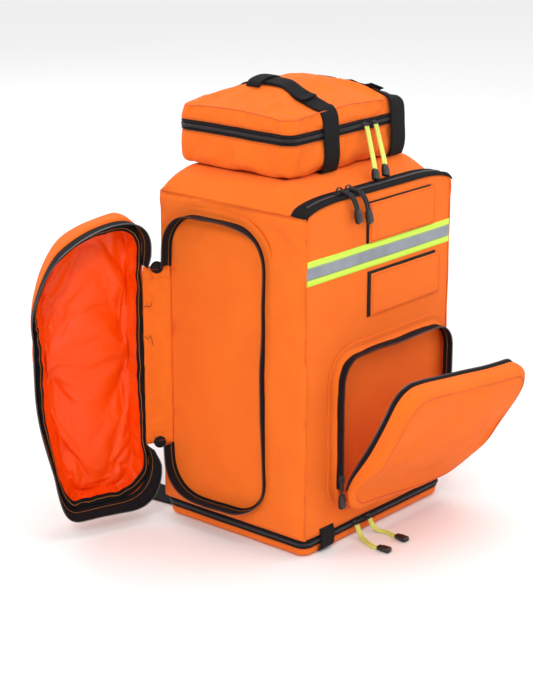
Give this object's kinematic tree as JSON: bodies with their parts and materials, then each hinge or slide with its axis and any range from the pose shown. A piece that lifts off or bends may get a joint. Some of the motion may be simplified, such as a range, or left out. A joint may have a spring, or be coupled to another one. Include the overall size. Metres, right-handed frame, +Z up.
{
  "type": "trauma backpack",
  "caption": "Tall soft first-responder backpack standing on its base, with one side pocket and the front pocket unzipped, a strapped top pouch and a shoulder harness.",
  "frame": {"origin": "centre of the base's underside", "axes": "+Z up, -Y to the front panel with the reflective strip, +Y to the wearer's back, -X to the open side pocket"},
  "size_m": [0.6302, 0.5407, 0.644],
  "materials": {
    "orange_fabric": "matte coated polyester weave",
    "lining_fabric": "smooth coated nylon lining with a soft sheen",
    "zip_tape": "woven zip tape with coil teeth",
    "black_webbing": "ribbed webbing",
    "padding": "spacer mesh over foam",
    "loop_fastener": "brushed loop pile",
    "reflective_tape": "silver retroreflective tape with lime edges",
    "moulded_black": "moulded, satin",
    "black_cord": "braided",
    "yellow_cord": "braided",
    "foam": "closed-cell foam",
    "stiff_board": "stiff sheet",
    "rain_fabric": "thin coated nylon"
  },
  "bodies": {
    "pack": {"front_panel": "orange_fabric", "back_panel": "orange_fabric", "left_panel": "orange_fabric", "right_panel": "orange_fabric", "floor_panel": "orange_fabric", "base_cover": "orange_fabric", "base_zip": "zip_tape", "base_strap": "black_webbing", "rain_cover": "rain_fabric", "base_board": "stiff_board", "back_board": "stiff_board", "wall_foam": "foam", "divider_panel": "foam", "reflective_strip": "reflective_tape", "id_loop_panels": "loop_fastener", "front_pocket_flange": "orange_fabric", "front_pocket_zip_body": "zip_tape", "front_pocket_slider": "moulded_black", "left_pocket_flange": "orange_fabric", "left_pocket_zip_body": "zip_tape", "right_pocket_flange": "orange_fabric", "right_pocket_zip_body": "zip_tape", "main_zip_front": "zip_tape", "haul_handle": "black_webbing", "back_pad": "padding", "shoulder_strap_left": "padding", "shoulder_strap_right": "padding", "harness_webbing": "black_webbing", "harness_buckles": "moulded_black", "base_pulls": "moulded_black", "base_cord_left": "yellow_cord", "base_cord_right": "yellow_cord"},
    "lid": {"top_panel": "orange_fabric", "main_zip_rear": "zip_tape", "pouch_tub": "orange_fabric", "pouch_zip_lower": "zip_tape", "strap_feet": "black_webbing"},
    "cover": {"pouch_cover": "orange_fabric", "pouch_zip_upper": "zip_tape", "top_strap_left": "black_webbing", "top_strap_right": "black_webbing"},
    "front_pocket": {"front_pocket_shell": "orange_fabric", "front_pocket_zip_shell": "zip_tape"},
    "left_strip": {"left_hinge_strip": "orange_fabric"},
    "left_pocket": {"left_pocket_shell": "orange_fabric", "left_pocket_lining": "lining_fabric", "left_pocket_zip_shell": "zip_tape"},
    "right_strip": {"right_hinge_strip": "orange_fabric"},
    "right_pocket": {"right_pocket_shell": "orange_fabric", "right_pocket_zip_shell": "zip_tape"},
    "upper_flap": {"id_flap_upper": "orange_fabric"},
    "lower_flap": {"id_flap_lower": "orange_fabric"},
    "main_pull_left": {"main_slider_left": "moulded_black", "main_cord_left": "black_cord"},
    "main_pull_right": {"main_slider_right": "moulded_black", "main_cord_right": "black_cord"},
    "pouch_pull_left": {"pouch_slider_left": "moulded_black", "pouch_cord_left": "yellow_cord"},
    "pouch_pull_right": {"pouch_slider_right": "moulded_black", "pouch_cord_right": "yellow_cord"}
  },
  "joints": [
    {"name": "mouth_gape", "type": "hinge", "parent": "pack", "child": "lid", "pos_m": [0, 0.136, 0.496], "axis": [1, 0, 0], "range_deg": [-12, 0]},
    {"name": "pouch_cover_lift", "type": "hinge", "parent": "lid", "child": "cover", "pos_m": [0.004, 0.137, 0.588], "axis": [1, 0, 0], "range_deg": [-100, 0]},
    {"name": "front_pocket_drop", "type": "hinge", "parent": "pack", "child": "front_pocket", "pos_m": [0.0185, -0.157, 0.06], "axis": [1, 0, 0], "range_deg": [-31, 0]},
    {"name": "left_strip_fold", "type": "hinge", "parent": "pack", "child": "left_strip", "pos_m": [-0.1694, 0.115, 0.254], "axis": [0, 0, 1], "range_deg": [0, 36.2]},
    {"name": "left_pocket_swing", "type": "hinge", "parent": "left_strip", "child": "left_pocket", "pos_m": [-0.20225, 0.13886, 0.25], "axis": [0, 0, 1], "range_deg": [0, 74]},
    {"name": "right_strip_fold", "type": "hinge", "parent": "pack", "child": "right_strip", "pos_m": [0.1694, 0.115, 0.254], "axis": [0, 0, 1], "range_deg": [0, 36.2]},
    {"name": "right_pocket_swing", "type": "hinge", "parent": "right_strip", "child": "right_pocket", "pos_m": [0.21, 0.115, 0.25], "axis": [0, 0, 1], "range_deg": [0, 74]},
    {"name": "upper_flap_swing", "type": "hinge", "parent": "pack", "child": "upper_flap", "pos_m": [0.124, -0.1382, 0.4665], "axis": [0, 0, 1], "range_deg": [0, 165]},
    {"name": "lower_flap_swing", "type": "hinge", "parent": "pack", "child": "lower_flap", "pos_m": [0.14, -0.1382, 0.361], "axis": [0, 0, 1], "range_deg": [0, 165]},
    {"name": "main_slider_left_run", "type": "slide", "parent": "lid", "child": "main_pull_left", "axis": [1, 0, 0], "range_m": [-0.045, 0]},
    {"name": "main_slider_right_run", "type": "slide", "parent": "lid", "child": "main_pull_right", "axis": [1, 0, 0], "range_m": [0, 0.045]},
    {"name": "pouch_slider_left_run", "type": "slide", "parent": "lid", "child": "pouch_pull_left", "axis": [1, 0, 0], "range_m": [-0.045, 0]},
    {"name": "pouch_slider_right_run", "type": "slide", "parent": "lid", "child": "pouch_pull_right", "axis": [1, 0, 0], "range_m": [0, 0.026]}
  ],
  "couplings": [
    {"joint": "left_strip_fold", "follows": "left_pocket_swing", "ratio": 0.48649},
    {"joint": "right_strip_fold", "follows": "right_pocket_swing", "ratio": 0.48649}
  ]
}
